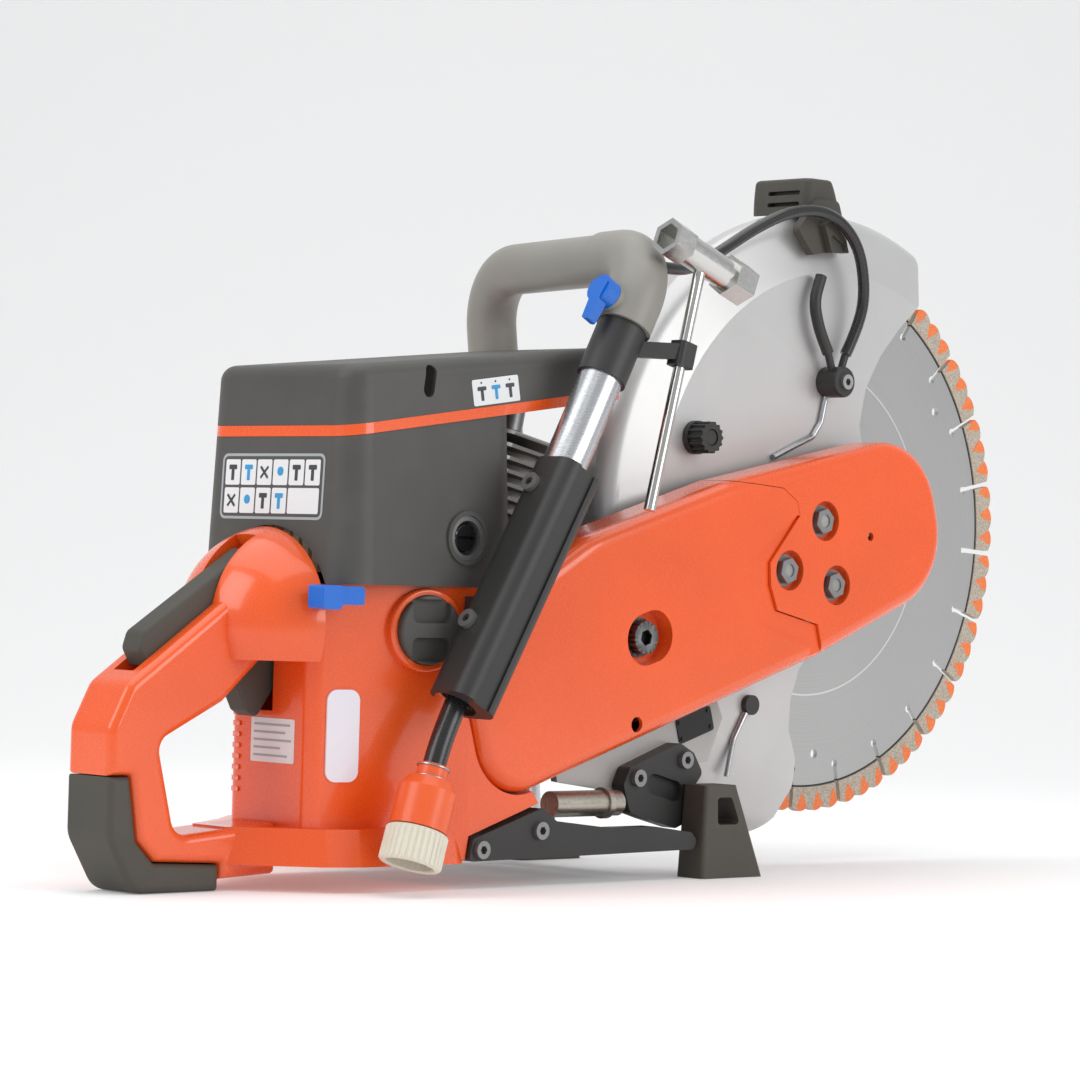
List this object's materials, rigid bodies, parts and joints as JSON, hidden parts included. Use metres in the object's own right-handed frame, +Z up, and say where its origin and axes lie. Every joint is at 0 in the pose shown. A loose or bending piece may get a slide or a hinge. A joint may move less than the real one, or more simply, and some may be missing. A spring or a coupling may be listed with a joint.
{
  "type": "concrete cut-off saw",
  "caption": "Petrol cut-off saw for concrete: diamond blade in a tilting guard on a belt-driven arm, loop handles and a water hose kit.",
  "frame": {"origin": "centre of the footprint on the ground under the saw", "axes": "+X forward to the blade, +Y to the machine's left, +Z up"},
  "size_m": [0.727, 0.2558, 0.421],
  "materials": {
    "blade_steel": "satin ground steel",
    "segment": "sintered diamond segment, patches of orange paint",
    "steel": "machined steel",
    "black_steel": "black oxide",
    "cast": "rough die cast",
    "guard_silver": "satin silver paint",
    "orange": "glossy orange",
    "charcoal": "fine grained charcoal",
    "pad": "soft grip",
    "grip": "smooth grey grip",
    "tube": "bright drawn tube",
    "blue": "glossy blue",
    "hose": "black hose",
    "window": "milky translucent",
    "paper": "pleated filter",
    "cream": "cream ring",
    "chrome": "zinc plated",
    "belt": "ribbed belt"
  },
  "bodies": {
    "machine": {"air_filter": "paper", "carburettor": "cast", "coupling_ring": "cream", "cover_screw": "black_steel", "cover_strip": "orange", "crankcase": "cast", "cutting_arm": "cast", "cylinder": "cast", "cylinder_cover": "charcoal", "data_plate": "black_steel", "drive_belt": "belt", "feet": "pad", "filter_housing": "charcoal", "front_belt_guard": "orange", "front_handle_tube": "tube", "fuel_window": "window", "guard_hose": "hose", "handle_elbow": "grip", "handle_grip": "grip", "handle_pad": "pad", "hose_coupling": "orange", "hose_guard": "charcoal", "machine_bolts": "black_steel", "muffler": "steel", "piston_and_rod": "steel", "rear_belt_guard": "orange", "rear_handle": "orange", "recoil_spring": "steel", "shaft_bearings": "steel", "spark_plug": "black_steel", "starter_housing": "orange", "starter_rope": "hose", "supply_hose": "hose", "support_bracket": "charcoal", "tank_housing": "orange", "vibration_dampers": "pad", "wrench_holder": "charcoal"},
    "blade": {"blade_core": "blade_steel", "blade_segments": "segment", "blade_flanges": "steel", "arbor_shaft": "steel", "driven_pulley": "steel"},
    "drum": {"clutch_drum": "steel"},
    "crank": {"crankshaft": "steel", "clutch_shoes": "steel", "flywheel": "cast"},
    "guard": {"blade_guard": "guard_silver", "guard_handle": "pad", "guard_fittings": "charcoal", "water_jets": "steel"},
    "trigger": {"throttle_trigger": "pad"},
    "lockout": {"throttle_lockout": "pad"},
    "choke": {"choke_lever": "blue"},
    "switch": {"stop_switch": "blue"},
    "valve": {"decompression_valve": "blue"},
    "tap": {"tap_knob": "blue"},
    "cap": {"fuel_cap": "charcoal"},
    "pull": {"starter_handle": "charcoal"},
    "reel": {"starter_pulley": "charcoal"},
    "spanner": {"wrench": "chrome"}
  },
  "joints": [
    {"name": "blade_spin", "type": "hinge", "parent": "machine", "child": "blade", "pos_m": [0.188, -0.025, 0.207], "axis": [0, 1, 0], "continuous": true},
    {"name": "drum_spin", "type": "hinge", "parent": "machine", "child": "drum", "pos_m": [-0.07403, -0.05, 0.12689], "axis": [0, 1, 0], "continuous": true},
    {"name": "crank_spin", "type": "hinge", "parent": "machine", "child": "crank", "pos_m": [-0.07403, 0, 0.12689], "axis": [0, 1, 0], "continuous": true},
    {"name": "guard_tilt", "type": "hinge", "parent": "machine", "child": "guard", "pos_m": [0.188, -0.025, 0.207], "axis": [0, 1, 0], "range_deg": [-5, 45], "deforming": ["guard_hose"]},
    {"name": "trigger_pull", "type": "hinge", "parent": "machine", "child": "trigger", "pos_m": [-0.253, -0.02, 0.127], "axis": [0, 1, 0], "range_deg": [0, 15], "stiffness_Nm_per_rad": 0.3, "springref_deg": -11.46},
    {"name": "lockout_press", "type": "hinge", "parent": "machine", "child": "lockout", "pos_m": [-0.26, -0.02, 0.172], "axis": [0, -1, 0], "range_deg": [0, 4], "stiffness_Nm_per_rad": 1, "springref_deg": -5.73},
    {"name": "choke_pull", "type": "slide", "parent": "machine", "child": "choke", "axis": [-1, 0, 0], "range_m": [0, 0.012]},
    {"name": "switch_flip", "type": "slide", "parent": "machine", "child": "switch", "axis": [1, 0, 0], "range_m": [0, 0.004]},
    {"name": "valve_press", "type": "slide", "parent": "machine", "child": "valve", "axis": [0, 1, 0], "range_m": [0, 0.004], "stiffness_N_per_m": 300, "springref_m": -0.001},
    {"name": "tap_turn", "type": "hinge", "parent": "machine", "child": "tap", "pos_m": [-0.07097, -0.103, 0.33145], "axis": [-0.883, 0, 0.4694], "range_deg": [0, 90]},
    {"name": "cap_turn", "type": "hinge", "parent": "machine", "child": "cap", "pos_m": [-0.181, -0.0773, 0.142], "axis": [-0.2103, -0.9776, 0], "range_deg": [0, 90]},
    {"name": "starter_pull", "type": "slide", "parent": "machine", "child": "pull", "axis": [0, 0, 1], "range_m": [0, 0.5], "stiffness_N_per_m": 20, "springref_m": -0.1, "deforming": ["starter_rope"]},
    {"name": "reel_spin", "type": "hinge", "parent": "machine", "child": "reel", "pos_m": [-0.07403, 0.1, 0.12689], "axis": [0, 1, 0], "range_deg": [0, 1090]},
    {"name": "spanner_lift", "type": "slide", "parent": "machine", "child": "spanner", "axis": [0.2491, 0, 0.9685], "range_m": [0, 0.11]}
  ],
  "couplings": [
    {"joint": "drum_spin", "follows": "blade_spin", "ratio": 2},
    {"joint": "reel_spin", "follows": "starter_pull", "rad_per_m": 37.736}
  ]
}
